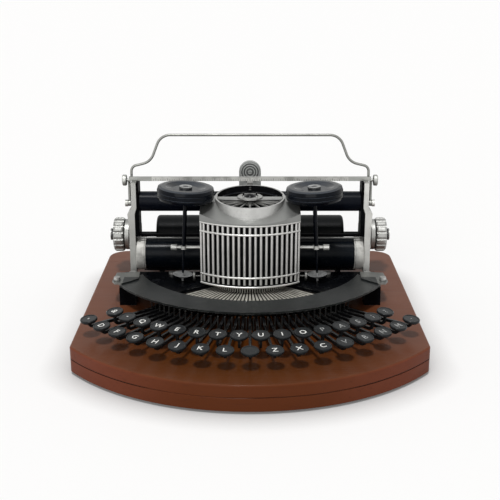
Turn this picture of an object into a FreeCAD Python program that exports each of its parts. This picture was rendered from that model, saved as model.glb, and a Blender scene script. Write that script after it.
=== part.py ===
import FreeCAD, Part
import math
import os

os.makedirs("parts", exist_ok=True)

Vector = FreeCAD.Vector
X_AXIS = Vector(1, 0, 0)
Y_AXIS = Vector(0, 1, 0)
Z_AXIS = Vector(0, 0, 1)

# Frame: origin under the middle of the base, +X right, +Y to the back, +Z up, in millimetres

# Clearances
running_gap = 0.06
moving_gap = 0.4
seat_gap = 0.3
overshoot = 1.0

# Base board
base_width = 340.0
base_front_radius = 216.6
base_front_arc_y = 29.6
base_back_y = 187.0
base_front_corner_radius = 10.0
base_back_corner_radius = 22.0
foot_height = 2.5
foot_radius = 10.0
foot_inset = 34.0
lower_board_height = 13.2
upper_board_height = 12.3
seam_chamfer = 0.5
board_edge_radius = 2.0
board_top = foot_height + lower_board_height + upper_board_height

# Key fan: levers radiate from one centre
key_count = 33
key_fan_y = 43.0
key_pitch_deg = 3.206
front_key_radius = 198.0
rear_key_radius = 175.0
front_cap_top_rise = 19.0
front_cap_top = board_top + front_cap_top_rise
rear_cap_top_rise = 24.0
rear_cap_top = board_top + rear_cap_top_rise
cap_radius = 8.3
cap_height = 4.2
cap_tilt_deg = 7.0
cap_rim_bevel = 0.6
cap_dish_inset = 1.6
cap_dish_depth = 0.45
cap_dish_slope = 0.4
cap_foot_inset = 1.4
lever_width = 2.4
lever_height = 3.2
slat_inner_radius = 44.0
slat_outer_radius = 96.0
slat_inner_width = 1.9
slat_outer_width = 3.8
slat_centre_rise = 14.5
slat_centre_z = board_top + slat_centre_rise
fulcrum_radius = 102.0
fulcrum_rise = 13.5
fulcrum_z = board_top + fulcrum_rise
fulcrum_rod_radius = 1.5
lever_boss_radius = 3.4
step_start_radius = 112.0
step_end_radius = 126.0
reach_centre_rise = 10.6
reach_centre_z = board_top + reach_centre_rise
hook_stem = 2.4
hook_outer_bend = 5.0
hook_inner_bend = 2.5
index_pin_radius = 0.65
index_pin_height = 4.6
index_pin_from_end = 2.0

# Guide comb
comb_radius = 124.0
comb_strip_width = 6.0
comb_strip_height = 3.0
comb_pin_radius = 0.7
comb_post_size = 7.0
comb_end_pitches = 1.1

# Deck and front shield
deck_top_rise = 18.5
deck_top = board_top + deck_top_rise
deck_thickness = 3.0
deck_sector_pitches = 0.9
deck_sector_reach = 300.0
deck_turret_land = 4.0
deck_back_y = 55.0
deck_radius = 146.0
shield_centre_y = 82.0
shield_inner_radius = 124.0
shield_outer_radius = 156.0
shield_thickness = 2.0
shield_underside_rise = 20.0
shield_underside = board_top + shield_underside_rise
shield_outer_end_x = 136.5
shield_inner_end_x = 115.6
shield_end_margin_deg = 5.0
shield_trim_reach = 60.0
leg_inner_x = 119.0
leg_outer_x = 136.0
leg_front_y = 2.0
leg_back_y = 18.0
rear_leg_front_y = 42.0
ear_thickness = 1.5
ear_outline = (
    (-1.5, 18.0), (-0.5, 39.0), (24.0, 36.0), (25.5, 10.0), (22.0, 2.5), (15.0, 2.0), (7.0, 9.0),
)
ear_block_front_y = 30.0
ear_block_back_y = 38.0
ear_block_inset = 2.0
ear_screw_x = 139.5
ear_screw_y = 14.0
ear_screw_head_radius = 3.4
ear_screw_head_height = 3.6
ear_nut_inset = 0.6
ear_nut_height = 2.0
screw_slot_half = 0.4
ear_slot_depth = 1.0
deck_slot_depth = 0.8
screw_shank_radius = 1.5
deck_screw_head_radius = 3.6
deck_screw_head_height = 2.2

# Turret
turret_arc_radius = 81.4
turret_arc_y = 70.0
turret_half_angle_deg = 39.5
turret_back_y = 52.0
turret_back_half_width = 50.0
cage_ring_height = 2.2
cage_ring_depth = 2.2
cage_bottom_ring_rise = 23.9
cage_bottom_ring_z = board_top + cage_bottom_ring_rise
cage_lower_ring_rise = 34.0
cage_lower_ring_z = board_top + cage_lower_ring_rise
cage_upper_ring_rise = 79.9
cage_upper_ring_z = board_top + cage_upper_ring_rise
cage_top_ring_rise = 89.3
cage_top_ring_z = board_top + cage_top_ring_rise
cage_bar_count = 19
cage_bar_pitch_deg = 4.02
cage_bar_radius = 1.45
cage_bar_sink = 1.6
cage_bar_foot_gap = 1.4
cage_edge_inset_deg = 0.6
cage_ring_round = 0.8
housing_wall = 1.8
housing_setback = 3.1
gate_pitches = 0.6
gate_inner_land = 6.0
housing_front_bottom_rise = 22.0
housing_front_bottom = board_top + housing_front_bottom_rise
shelf_rise = 38.0
shelf_z = board_top + shelf_rise
shelf_thickness = 3.0
hood_wall = 2.2
hood_slope_base_rise = 91.2
hood_slope_base_z = board_top + hood_slope_base_rise
hood_slope = 0.366
hood_plane_reach = 130.0
hood_plane_depth = 20.0
hood_flat_rise = 105.2
hood_flat_z = board_top + hood_flat_rise
neck_centre_y = 34.0
neck_outer_radius = 36.5
neck_wall = 2.4
neck_overshoot = 5.0
rim_front_rise = 106.0
rim_front_z = board_top + rim_front_rise
rim_slope = 0.0865
print_window_width = 2.4
print_window_low_rise = 107.2
print_window_low = board_top + print_window_low_rise
print_window_height = 3.6
bridge_width = 8.0
bridge_height = 1.8
bridge_rise = 106.0
bridge_z = board_top + bridge_rise
hub_disc_radius = 13.0
hub_disc_height = 1.4
hub_dome_radius = 6.4
hub_dome_sink = 3.4
hub_pin_count = 4
hub_pin_radius = 0.9
hub_pin_circle = 9.6
hub_pin_height = 2.2

# Type wheel
wheel_outer_radius = 32.4
wheel_band = 1.6
wheel_band_height = 4.0
wheel_top_rise = 104.9
wheel_top_z = board_top + wheel_top_rise
wheel_spokes = 18
wheel_spoke_width = 1.0
wheel_spoke_height = 1.4
wheel_hub_radius = 7.0
wheel_shaft_radius = 2.5
wheel_collar_height = 3.0

# Ribbon spools
spool_x = 66.5
spool_y = 25.0
spool_lean_deg = 3.0
spool_bottom_rise = 108.3
spool_bottom_z = board_top + spool_bottom_rise
spool_radius = 29.6
spool_height = 14.0
spool_edge_radius = 3.2
spool_recess_radius = 19.0
spool_recess_depth = 2.2
spool_knob_radius = 6.8
spool_knob_height = 2.2
spool_groove = 0.5
spool_groove_heights = (4.6, 8.6)
spool_groove_half = 0.4
spool_shoulder_drop = 0.8
spool_shoulder_inset = 1.0
spool_lip_width = 2.0
spool_lip_drop = 0.6
spool_recess_slope = 6.0
spool_slot_half = 0.7
spool_slot_depth = 1.0
spool_post_radius = 2.2
spool_rod_radius = 1.1
spool_dish_radius = 10.6
spool_dish_height = 3.4
spool_dish_wall = 0.9
spool_dish_flat_radius = 4.77
dish_bottom_rise = 23.2
dish_bottom_z = board_top + dish_bottom_rise
arm_rise = 56.3
arm_z = board_top + arm_rise
arm_radius = 1.8
arm_end_x = 83.0
arm_bulb_radius = 3.2
arm_bulb_length = 6.0
arm_ring_radius = 3.3
arm_ring_height = 3.6
arm_flange_width = 2.0
arm_relief_height = 10.0

# Ribbon drive shaft
drive_rise = 24.4
drive_z = board_top + drive_rise
drive_shaft_radius = 0.9
drive_disc_radius = 5.3
drive_disc_width = 2.0

# Carriage
roller_y = 75.0
plate_inner_x = 124.6
plate_outer_x = 131.2
plate_upper_inner_x = 122.5
plate_upper_outer_x = 127.8
plate_shoulder_x = 132.4
plate_flare_drop = 14.0
plate_shoulder_round = 2.0
plate_neck_rise = 6.4
plate_foot_back = 8.0
plate_tail_drop = 14.0
plate_tail_rise = 9.0
plate_tail_run = 8.0
plate_tail_slope = 6.0
plate_waist_rise = 24.0
plate_shoulder_rise = 82.0
plate_shoulder_z = board_top + plate_shoulder_rise
plate_front_y = 62.0
plate_upper_back_y = 84.0
plate_lower_back_y = 126.0
plate_bottom_rise = 14.6
plate_bottom_z = board_top + plate_bottom_rise
plate_top_rise = 116.0
plate_top_z = board_top + plate_top_rise
liner_inner_x = 120.0
liner_bottom_rise = 56.0
liner_bottom_z = board_top + liner_bottom_rise
liner_setback = 2.0
upper_roller_radius = 10.8
upper_roller_rise = 93.0
upper_roller_z = board_top + upper_roller_rise
upper_roller_shaft = 2.0
upper_bore_depth = 3.0
upper_shaft_depth = 2.4
front_roller_radius = 17.3
front_roller_half = 113.7
front_cap_radius = 18.2
front_cap_chamfer = 0.8
front_roller_rise = 33.6
front_roller_z = board_top + front_roller_rise
roller_shaft = 3.0
tie_bar_rise = 54.8
tie_bar_z = board_top + tie_bar_rise
tie_bar_height = 2.0
tie_bar_depth = 3.0
tie_rod_radius = 0.9
tie_rod_y = 67.0
tie_rod_rise = 53.6
tie_rod_z = board_top + tie_rod_rise
feed_y = 114.0
feed_rise = 43.5
feed_z = board_top + feed_rise
feed_radius = 22.0
feed_half = 105.5
feed_edge_radius = 3.5
knob_hub_radius = 9.7
knob_flange_x = 137.0
knob_flange_radius = 17.4
knob_flange_chamfer = 1.2
knob_rim_x = 142.5
knob_rim_radius = 19.3
knob_rim_width = 12.0
knob_rim_round = 2.8
knob_scallops = 16
knob_scallop_radius = 1.9
knob_scallop_depth = 1.4
knob_neck_radius = 6.0
knob_neck_length = 2.6
knob_button_radius = 6.6
knob_button_length = 1.7
scale_y = 73.5
scale_thickness = 2.0
scale_height = 4.7
scale_half = 130.6
thumb_radius = 6.0
thumb_width = 4.6
thumb_round = 1.2
thumb_x = 133.0
thumb_rise = 0.8
thumb_z = plate_top_z + thumb_rise
thumb_stem_radius = 1.5

# Paper rest
rest_pivot_y = 77.0
rest_pivot_rise = 90.3
rest_pivot_z = board_top + rest_pivot_rise
rest_wire_radius = 1.4
rest_leg_x = 131.3
rest_leg_height = 23.5
rest_shoulder_x = 128.6
rest_shoulder_low = 29.0
rest_shoulder_high = 40.0
rest_inner_x = 107.6
rest_inner_height = 45.0
rest_top_x = 96.4
rest_top_height = 73.9
rest_bend_radii = (3.0, 3.0, 6.5, 16.0, 15.0)
rest_lean_deg = 7.0
rest_eye_radius = 3.2
rest_eye_width = 2.8
rest_stud_radius = 1.3
rest_stud_head_radius = 3.7
rest_stud_head_width = 3.0

# Carriage rail
rail_y = 100.0
rail_width = 8.0
rail_height = 8.0
rail_top_rise = 14.0
rail_top_z = board_top + rail_top_rise
rail_half = 120.0
rail_foot_x = 100.0
rail_foot_size = 6.0
shoe_skirt = 2.4
shoe_roof = 3.1
shoe_drop = 6.0

# Bell, hammer and main spring at the back
standard_y = 148.0
standard_half_width = 12.6
standard_thickness = 5.0
standard_arc_rise = 108.9
standard_arc_z = board_top + standard_arc_rise
standard_foot_depth = 26.0
standard_foot_height = 4.0
bell_radius = 22.0
bell_wall = 1.6
bell_rise = 62.0
bell_z = board_top + bell_rise
bell_stand_off = 6.0
bell_stem_radius = 3.0
plaque_ring_radii = (11.4, 8.6, 5.8)
plaque_ring_width = 1.3
plaque_ring_height = 1.0
plaque_screw_radius = 2.4
plaque_screw_height = 1.6
plaque_slot_depth = 0.7
hammer_pivot_y = 96.0
hammer_pivot_rise = 71.0
hammer_pivot_z = board_top + hammer_pivot_rise
hammer_pin_radius = 1.5
hammer_half_width = 3.0
hammer_tail = 4.0
hammer_arm_depth = 6.0
hammer_head_y = 78.0
hammer_head_low_rise = 107.0
hammer_head_low = board_top + hammer_head_low_rise
hammer_head_height = 5.5
bracket_cheek = 2.0
bracket_bottom_rise = 67.0
bracket_bottom = board_top + bracket_bottom_rise
bracket_height = 7.0
bracket_pin_land = 2.5
drum_x = -100.0
drum_y = 160.0
drum_radius = 20.0
drum_height = 15.0
drum_cap_radius = 6.0
drum_cap_height = 2.5
drum_round = 2.0
drum_ear_reach = 8.0
drum_ear_half_width = 5.0
drum_ear_height = 3.0


def box(x0, x1, y0, y1, z0, z1):
    return Part.makeBox(x1 - x0, y1 - y0, z1 - z0, Vector(x0, y0, z0))


def rod(start, axis, radius, length):
    return Part.makeCylinder(radius, length, start, axis)


def prism(points, push):
    """A flat outline of straight sides pushed along a vector."""
    wire = Part.makePolygon(list(points) + [points[0]])
    return Part.Face(wire).extrude(push)


def revolve(profile, centre=Vector(0, 0, 0)):
    """Turn a list of (radius, height) points about the upright axis through centre."""
    points = [Vector(centre.x + r, centre.y, centre.z + z) for r, z in profile]
    face = Part.Face(Part.makePolygon(points + [points[0]]))
    return face.revolve(centre, Z_AXIS, 360)


def band(centre, inner, outer, z0, z1, start_deg, end_deg):
    """A flat ring sector; angles are counted from the front, positive to the right."""
    ring = rod(Vector(centre.x, centre.y, z0), Z_AXIS, outer, z1 - z0)
    ring = ring.cut(rod(Vector(centre.x, centre.y, z0), Z_AXIS, inner, z1 - z0))
    reach = 3 * outer
    middle = (start_deg + end_deg) / 2
    corners = [centre] + [centre + polar(reach, a) for a in (start_deg, middle, end_deg)]
    wedge = prism([Vector(c.x, c.y, z0) for c in corners], Vector(0, 0, z1 - z0))
    return ring.common(wedge)


def polar(radius, angle_deg):
    """A level offset from a fan centre; zero points to the front."""
    angle = math.radians(angle_deg)
    return Vector(radius * math.sin(angle), -radius * math.cos(angle), 0)


def turned(shape, centre, axis, angle_deg):
    copy = shape.copy()
    copy.rotate(centre, axis, angle_deg)
    return copy


def mirrored(shape):
    return shape.mirror(Vector(0, 0, 0), X_AXIS)


def both_sides(shape):
    return [shape, mirrored(shape)]


def fuse(shapes):
    joined = shapes[0].multiFuse(shapes[1:]) if len(shapes) > 1 else shapes[0]
    return joined.removeSplitter()


def save(node, shapes):
    solids = [solid for shape in shapes for solid in shape.Solids]
    Part.makeCompound(solids).exportStep("parts/" + node + ".step")


def arc_edge(start, middle, end):
    return Part.Arc(start, middle, end).toShape()


# Base

def base_outline(z):
    """Straight sides, a bowed front and rounded corners."""
    half = base_width / 2
    side_drop = math.sqrt(base_front_radius ** 2 - half ** 2)
    front_corner_y = base_front_arc_y - side_drop
    front_mid = Vector(0, base_front_arc_y - base_front_radius, z)
    left = Vector(-half, front_corner_y, z)
    right = Vector(half, front_corner_y, z)
    back_right = Vector(half, base_back_y, z)
    back_left = Vector(-half, base_back_y, z)
    edges = [
        arc_edge(left, front_mid, right),
        Part.makeLine(right, back_right),
        Part.makeLine(back_right, back_left),
        Part.makeLine(back_left, left),
    ]
    return Part.Face(Part.Wire(edges))


def upright_edges(solid, y_low, y_high):
    found = []
    for edge in solid.Edges:
        first, last = edge.Vertexes[0].Point, edge.Vertexes[-1].Point
        if abs(first.x - last.x) + abs(first.y - last.y) > 0.01:
            continue
        if y_low < first.y < y_high:
            found.append(edge)
    return found


def level_edges(solid, z):
    found = []
    for edge in solid.Edges:
        bounds = edge.BoundBox
        if abs(bounds.ZMin - z) < 0.01 and abs(bounds.ZMax - z) < 0.01:
            found.append(edge)
    return found


def round_edges(solid):
    return [edge for edge in solid.Edges if edge.Curve.TypeId == "Part::GeomCircle"]


def board(z, height):
    solid = base_outline(z).extrude(Vector(0, 0, height))
    solid = solid.makeFillet(base_front_corner_radius, upright_edges(solid, -base_back_y, 0))
    return solid.makeFillet(base_back_corner_radius, upright_edges(solid, 0, base_back_y + 1))


def build_base():
    seam_z = foot_height + lower_board_height
    lower = board(foot_height, lower_board_height)
    lower = lower.makeChamfer(seam_chamfer, level_edges(lower, seam_z))
    lower = lower.makeChamfer(seam_chamfer, level_edges(lower, foot_height))
    upper = board(seam_z, upper_board_height)
    upper = upper.makeChamfer(seam_chamfer, level_edges(upper, seam_z))
    upper = upper.makeFillet(board_edge_radius, level_edges(upper, board_top))
    save("base_boards", [lower, upper])

    half = base_width / 2 - foot_inset
    spots = [(half, base_back_y - foot_inset), (half, -base_back_y / 2)]
    feet = []
    for x, y in spots:
        feet += both_sides(rod(Vector(x, y, 0), Z_AXIS, foot_radius, foot_height))
    save("rubber_feet", feet)


# Keys

def lever_side_profile(key_radius, stem_top):
    """Outer half of a lever in the plane of its radius, hooked up under its cap."""
    half = lever_height / 2
    slat_low, slat_high = slat_centre_z - half, slat_centre_z + half
    reach_low, reach_high = reach_centre_z - half, reach_centre_z + half
    stem_in = key_radius - hook_stem / 2
    stem_out = key_radius + hook_stem / 2
    diagonal = math.sqrt(0.5)

    def at(radius, z):
        return Vector(-lever_width / 2, -radius, z)

    outer_mid = at(
        stem_out - hook_outer_bend * (1 - diagonal),
        reach_low + hook_outer_bend * (1 - diagonal),
    )
    inner_mid = at(
        stem_in - hook_inner_bend * (1 - diagonal),
        reach_high + hook_inner_bend * (1 - diagonal),
    )
    inner_start = at(stem_in, reach_high + hook_inner_bend)
    inner_end = at(stem_in - hook_inner_bend, reach_high)
    outer_start = at(stem_out - hook_outer_bend, reach_low)
    outer_end = at(stem_out, reach_low + hook_outer_bend)
    lower = [
        at(slat_outer_radius - 1, slat_low),
        at(step_start_radius, slat_low),
        at(step_end_radius, reach_low),
        outer_start,
    ]
    upper = [
        inner_end,
        at(step_end_radius, reach_high),
        at(step_start_radius, slat_high),
        at(slat_outer_radius - 1, slat_high),
    ]
    edges = [Part.makeLine(a, b) for a, b in zip(lower, lower[1:])]
    edges.append(arc_edge(outer_start, outer_mid, outer_end))
    edges.append(Part.makeLine(outer_end, at(stem_out, stem_top)))
    edges.append(Part.makeLine(at(stem_out, stem_top), at(stem_in, stem_top)))
    edges.append(Part.makeLine(at(stem_in, stem_top), inner_start))
    edges.append(arc_edge(inner_start, inner_mid, inner_end))
    edges += [Part.makeLine(a, b) for a, b in zip(upper, upper[1:])]
    edges.append(Part.makeLine(upper[-1], lower[0]))
    return Part.Face(Part.Wire(edges)).extrude(Vector(lever_width, 0, 0))


def key_lever(key_radius, cap_top):
    low = slat_centre_z - lever_height / 2
    outer = lever_side_profile(key_radius, cap_top - cap_height / 2)
    slat = prism(
        [
            Vector(-slat_inner_width / 2, -slat_inner_radius, low),
            Vector(slat_inner_width / 2, -slat_inner_radius, low),
            Vector(slat_outer_width / 2, -slat_outer_radius, low),
            Vector(-slat_outer_width / 2, -slat_outer_radius, low),
        ],
        Vector(0, 0, lever_height),
    )
    pivot = Vector(-lever_width / 2, -fulcrum_radius, fulcrum_z)
    boss = rod(pivot, X_AXIS, lever_boss_radius, lever_width)
    lever = fuse([outer, slat, boss])
    through = Vector(-slat_outer_width, -fulcrum_radius, fulcrum_z)
    return lever.cut(rod(through, X_AXIS, fulcrum_rod_radius + running_gap, 2 * slat_outer_width))


def key_cap(key_radius, cap_top):
    """Round cap with a raised rim and a shallow dish, leaning towards the typist."""
    dish = cap_radius - cap_dish_inset
    profile = [
        (0, -cap_dish_depth),
        (dish, -cap_dish_depth),
        (dish + cap_dish_slope, 0),
        (cap_radius - cap_rim_bevel, 0),
        (cap_radius, -cap_rim_bevel),
        (cap_radius, -cap_height / 2),
        (cap_radius - cap_foot_inset, -cap_height + cap_rim_bevel),
        (cap_radius / 2, -cap_height),
        (0, -cap_height),
    ]
    centre = Vector(0, -key_radius, cap_top)
    return turned(revolve(profile, centre), centre, X_AXIS, cap_tilt_deg)


def build_keys():
    patterns = []
    for radius, top in ((front_key_radius, front_cap_top), (rear_key_radius, rear_cap_top)):
        lever = key_lever(radius, top)
        cap = key_cap(radius, top).cut(lever)
        pin_y = -(slat_inner_radius + index_pin_from_end)
        pin_foot = Vector(0, pin_y, slat_centre_z + lever_height / 2)
        pin = rod(pin_foot, Z_AXIS, index_pin_radius, index_pin_height)
        patterns.append([lever, cap, pin])
    for number in range(key_count):
        angle = (number - (key_count - 1) / 2) * key_pitch_deg
        solids = []
        for shape in patterns[number % 2]:
            solid = turned(shape, Vector(0, 0, 0), Z_AXIS, angle)
            solid.translate(Vector(0, key_fan_y, 0))
            solids.append(solid)
        save("key_{:02d}".format(number + 1), solids)


def build_comb():
    """Guide strip with a pin each side of every lever, and the curved fulcrum rod."""
    centre = Vector(0, key_fan_y, 0)
    end_angle = (key_count / 2 + comb_end_pitches) * key_pitch_deg
    half = comb_strip_width / 2
    strip = band(
        centre, comb_radius - half, comb_radius + half,
        board_top, board_top + comb_strip_height, -end_angle, end_angle,
    )
    pieces = [strip]
    pin_top = shield_underside - seat_gap
    for number in range(key_count + 1):
        angle = (number - key_count / 2) * key_pitch_deg
        foot = centre + polar(comb_radius, angle) + Vector(0, 0, board_top + overshoot)
        pieces.append(rod(foot, Z_AXIS, comb_pin_radius, pin_top - foot.z))
    comb = fuse(pieces)

    section = Part.Face(Part.Wire(Part.makeCircle(
        fulcrum_rod_radius, centre + Vector(0, -fulcrum_radius, fulcrum_z), X_AXIS)))
    arc = section.revolve(centre, Z_AXIS, 2 * end_angle)
    arc = turned(arc, centre, Z_AXIS, -end_angle)
    posts = []
    for angle in (-end_angle, end_angle):
        spot = centre + polar(fulcrum_radius, angle)
        reach = comb_post_size / 2
        post = box(
            spot.x - reach, spot.x + reach, spot.y - reach, spot.y + reach,
            board_top, deck_top - deck_thickness,
        )
        posts.append(turned(post, spot, Z_AXIS, angle))
    save("key_comb", [comb, fuse([arc] + posts)])


# Deck, shield and ears

def shield_end_angles():
    outer = math.degrees(math.asin(shield_outer_end_x / shield_outer_radius))
    inner = math.degrees(math.asin(shield_inner_end_x / shield_inner_radius))
    return outer, inner


def shield_end_y(radius, angle_deg):
    return shield_centre_y - radius * math.cos(math.radians(angle_deg))


def build_frame():
    """Black deck casting with an open sector over the levers and four legs."""
    low = deck_top - deck_thickness
    centre = Vector(0, shield_centre_y, 0)
    disc = rod(Vector(0, shield_centre_y, low), Z_AXIS, deck_radius, deck_thickness)
    keep = box(-leg_outer_x, leg_outer_x, -base_back_y, deck_back_y, low, deck_top)
    deck = disc.common(keep)
    sector_half = (key_count / 2 + deck_sector_pitches) * key_pitch_deg
    fan = Vector(0, key_fan_y, low)
    corners = [fan] + [fan + polar(deck_sector_reach, turn * sector_half) for turn in (-1, 0, 1)]
    sector = prism(corners, Vector(0, 0, deck_thickness))
    under_turret = rod(fan, Z_AXIS, slat_inner_radius - deck_turret_land, deck_thickness)
    turret_front_y = key_fan_y - deck_turret_land
    turret_front = box(-base_width, base_width, -base_back_y, turret_front_y, low, deck_top)
    deck = deck.cut(sector).cut(under_turret.common(turret_front))
    shelf = box(-leg_outer_x, leg_outer_x, leg_back_y, deck_back_y, low, deck_top)
    shelf = shelf.cut(box(-spool_x, spool_x, -base_back_y, base_back_y, low, deck_top))
    pieces = [deck] + list(shelf.Solids)
    for x0, x1 in ((leg_inner_x, leg_outer_x), (-leg_outer_x, -leg_inner_x)):
        pieces.append(box(x0, x1, leg_front_y, leg_back_y, board_top, shield_underside))
        pieces.append(box(x0, x1, rear_leg_front_y, deck_back_y, board_top, deck_top))
    frame = fuse(pieces)
    for x, y in deck_screw_spots():
        frame = frame.cut(rod(Vector(x, y, board_top), Z_AXIS, screw_shank_radius, deck_top))
    save("main_frame", [frame])

    outer_angle, inner_angle = shield_end_angles()
    shield = band(
        centre, shield_inner_radius, shield_outer_radius,
        shield_underside, shield_underside + shield_thickness,
        -inner_angle - shield_end_margin_deg, inner_angle + shield_end_margin_deg,
    )
    outer_y = shield_end_y(shield_outer_radius, outer_angle)
    inner_y = shield_end_y(shield_inner_radius, inner_angle)
    run = (inner_y - outer_y) / (shield_outer_end_x - shield_inner_end_x)
    far = shield_trim_reach
    trim = prism(
        [
            Vector(shield_outer_end_x + far, outer_y - run * far, shield_underside),
            Vector(shield_inner_end_x - far, inner_y + run * far, shield_underside),
            Vector(shield_outer_end_x + far, inner_y + run * far, shield_underside),
        ],
        Vector(0, 0, shield_thickness),
    )
    shield = shield.cut(trim).cut(mirrored(trim))
    save("shield_crescent", [shield])


def deck_screw_spots():
    x = (leg_inner_x + leg_outer_x) / 2
    y = (rear_leg_front_y + deck_back_y) / 2
    inner_x = (turret_back_half_width + leg_inner_x) / 2
    return [(x, y), (-x, y), (inner_x, y), (-inner_x, y)]


def screw_slot(x, y, top_z, head_radius, depth):
    """The cut for a screwdriver across a head whose top is at top_z."""
    reach = head_radius + overshoot
    return box(
        x - reach, x + reach, y - screw_slot_half, y + screw_slot_half,
        top_z - depth, top_z + overshoot,
    )


def build_ears():
    low = shield_underside + shield_thickness
    outline = [Vector(leg_inner_x + x, leg_front_y + y, low) for x, y in ear_outline]
    plate = prism(outline, Vector(0, 0, ear_thickness))
    block = box(
        leg_inner_x + ear_block_inset, leg_outer_x - ear_block_inset,
        ear_block_front_y, ear_block_back_y, deck_top, low,
    )
    ear = fuse([plate, block])
    nut_foot = Vector(ear_screw_x, ear_screw_y, low - ear_nut_height)
    nut = rod(nut_foot, Z_AXIS, ear_screw_head_radius - ear_nut_inset, ear_nut_height)
    through = ear_nut_height + ear_thickness + 2 * overshoot
    hole = rod(nut_foot - Vector(0, 0, overshoot), Z_AXIS, screw_shank_radius, through)
    save("ear_plates", both_sides(fuse([ear, nut]).cut(hole)))

    head_z = low + ear_thickness
    head = rod(
        Vector(ear_screw_x, ear_screw_y, head_z), Z_AXIS,
        ear_screw_head_radius, ear_screw_head_height,
    )
    head = head.cut(screw_slot(
        ear_screw_x, ear_screw_y, head_z + ear_screw_head_height, ear_screw_head_radius, ear_slot_depth))
    shank = rod(nut_foot, Z_AXIS, screw_shank_radius, ear_nut_height + ear_thickness)
    screws = both_sides(fuse([head, shank]))
    for x, y in deck_screw_spots():
        top = rod(Vector(x, y, deck_top), Z_AXIS, deck_screw_head_radius, deck_screw_head_height)
        top = top.cut(screw_slot(
            x, y, deck_top + deck_screw_head_height, deck_screw_head_radius, deck_slot_depth))
        stem = rod(Vector(x, y, deck_top - deck_thickness), Z_AXIS, screw_shank_radius, deck_thickness)
        screws.append(fuse([top, stem]))
    save("frame_screws", screws)


# Turret

def turret_outline(z, inset):
    """Bowed front, tapering sides and a straight back, moved inwards by inset."""
    centre = Vector(0, turret_arc_y, z)
    radius = turret_arc_radius - inset
    angle = turret_half_angle_deg - math.degrees(inset / turret_arc_radius)
    left, front, right = (centre + polar(radius, a) for a in (-angle, 0, angle))
    back_right = Vector(turret_back_half_width - inset, turret_back_y - inset, z)
    back_left = Vector(-back_right.x, back_right.y, z)
    edges = [
        arc_edge(left, front, right),
        Part.makeLine(right, back_right),
        Part.makeLine(back_right, back_left),
        Part.makeLine(back_left, left),
    ]
    return Part.Face(Part.Wire(edges))


def turret_side_x(y, inset):
    """Half width of the turret's outline, its side walls' widest point, at a given depth."""
    angle = turret_half_angle_deg - math.degrees(inset / turret_arc_radius)
    corner = Vector(0, turret_arc_y, 0) + polar(turret_arc_radius - inset, angle)
    back = Vector(turret_back_half_width - inset, turret_back_y - inset, 0)
    along = (y - 2 * arm_radius - corner.y) / (back.y - corner.y)
    return corner.x + (back.x - corner.x) * along


def turret_block(z0, z1, inset):
    return turret_outline(z0, inset).extrude(Vector(0, 0, z1 - z0))


def build_cage():
    centre = Vector(0, turret_arc_y, 0)
    inner = turret_arc_radius - cage_ring_depth
    half = cage_ring_height / 2
    pieces = []
    for z in (cage_bottom_ring_z, cage_lower_ring_z, cage_upper_ring_z, cage_top_ring_z):
        ring = band(
            centre, inner, turret_arc_radius, z - half, z + half,
            -turret_half_angle_deg, turret_half_angle_deg,
        )
        front = [edge for edge in round_edges(ring) if edge.Curve.Radius > turret_arc_radius - running_gap]
        pieces.append(ring.makeFillet(cage_ring_round, front))
    bar_circle = turret_arc_radius - cage_bar_sink
    bar_low = cage_bottom_ring_z + half + cage_bar_foot_gap
    bar_high = cage_top_ring_z
    for number in range(cage_bar_count):
        angle = (number - (cage_bar_count - 1) / 2) * cage_bar_pitch_deg
        foot = centre + polar(bar_circle, angle) + Vector(0, 0, bar_low)
        pieces.append(rod(foot, Z_AXIS, cage_bar_radius, bar_high - bar_low))
    edge_angle = turret_half_angle_deg - cage_edge_inset_deg
    for angle in (-edge_angle, edge_angle):
        foot = centre + polar(bar_circle, angle) + Vector(0, 0, cage_bottom_ring_z)
        pieces.append(rod(foot, Z_AXIS, cage_bar_radius, cage_top_ring_z - cage_bottom_ring_z))
    save("turret_cage", [fuse(pieces)])


def build_housing():
    top = cage_top_ring_z + cage_ring_height / 2
    outer = turret_block(deck_top, top, housing_setback)
    inner = turret_block(deck_top, top, housing_setback + housing_wall)
    shell = outer.cut(inner)
    gate_half_deg = (key_count / 2 + gate_pitches) * key_pitch_deg
    gate = band(
        Vector(0, key_fan_y, 0), slat_inner_radius - gate_inner_land, turret_arc_radius,
        deck_top, housing_front_bottom, -gate_half_deg, gate_half_deg,
    )
    shell = shell.cut(gate)
    shelf = turret_block(shelf_z, shelf_z + shelf_thickness, housing_setback + housing_wall / 2)
    housing = fuse([shell, shelf])
    spindle = Vector(0, neck_centre_y, shelf_z - overshoot)
    housing = housing.cut(rod(
        spindle, Z_AXIS, wheel_shaft_radius + running_gap, shelf_thickness + 2 * overshoot))
    across = Vector(-base_width / 2, spool_y, drive_z)
    housing = housing.cut(rod(across, X_AXIS, drive_shaft_radius + running_gap, base_width))
    arm_hole = Vector(-base_width / 2, spool_y, arm_z)
    housing = housing.cut(rod(arm_hole, X_AXIS, arm_radius, base_width))
    save("turret_housing", [housing])


def rim_z(y):
    return rim_front_z + rim_slope * (y - (neck_centre_y - neck_outer_radius))


def under_plane(y0, z0, slope, bottom):
    """A tall block whose top is a plane that rises to the back through (y0, z0)."""
    reach = hood_plane_reach
    front, back = y0 - reach, y0 + reach
    side = -reach
    return prism(
        [
            Vector(side, front, bottom),
            Vector(side, back, bottom),
            Vector(side, back, z0 + slope * reach),
            Vector(side, front, z0 - slope * reach),
        ],
        Vector(2 * reach, 0, 0),
    )


def hood_form(inset):
    """The hood's solid form, moved inwards by inset."""
    bottom = cage_top_ring_z + cage_ring_height / 2
    front_y = turret_arc_y - turret_arc_radius
    body = turret_block(bottom - (overshoot if inset else 0), hood_flat_z - inset, inset)
    drop = inset * math.sqrt(1 + hood_slope ** 2)
    slope = under_plane(front_y, hood_slope_base_z - drop, hood_slope, bottom - hood_plane_depth)
    return body.common(slope)


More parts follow.
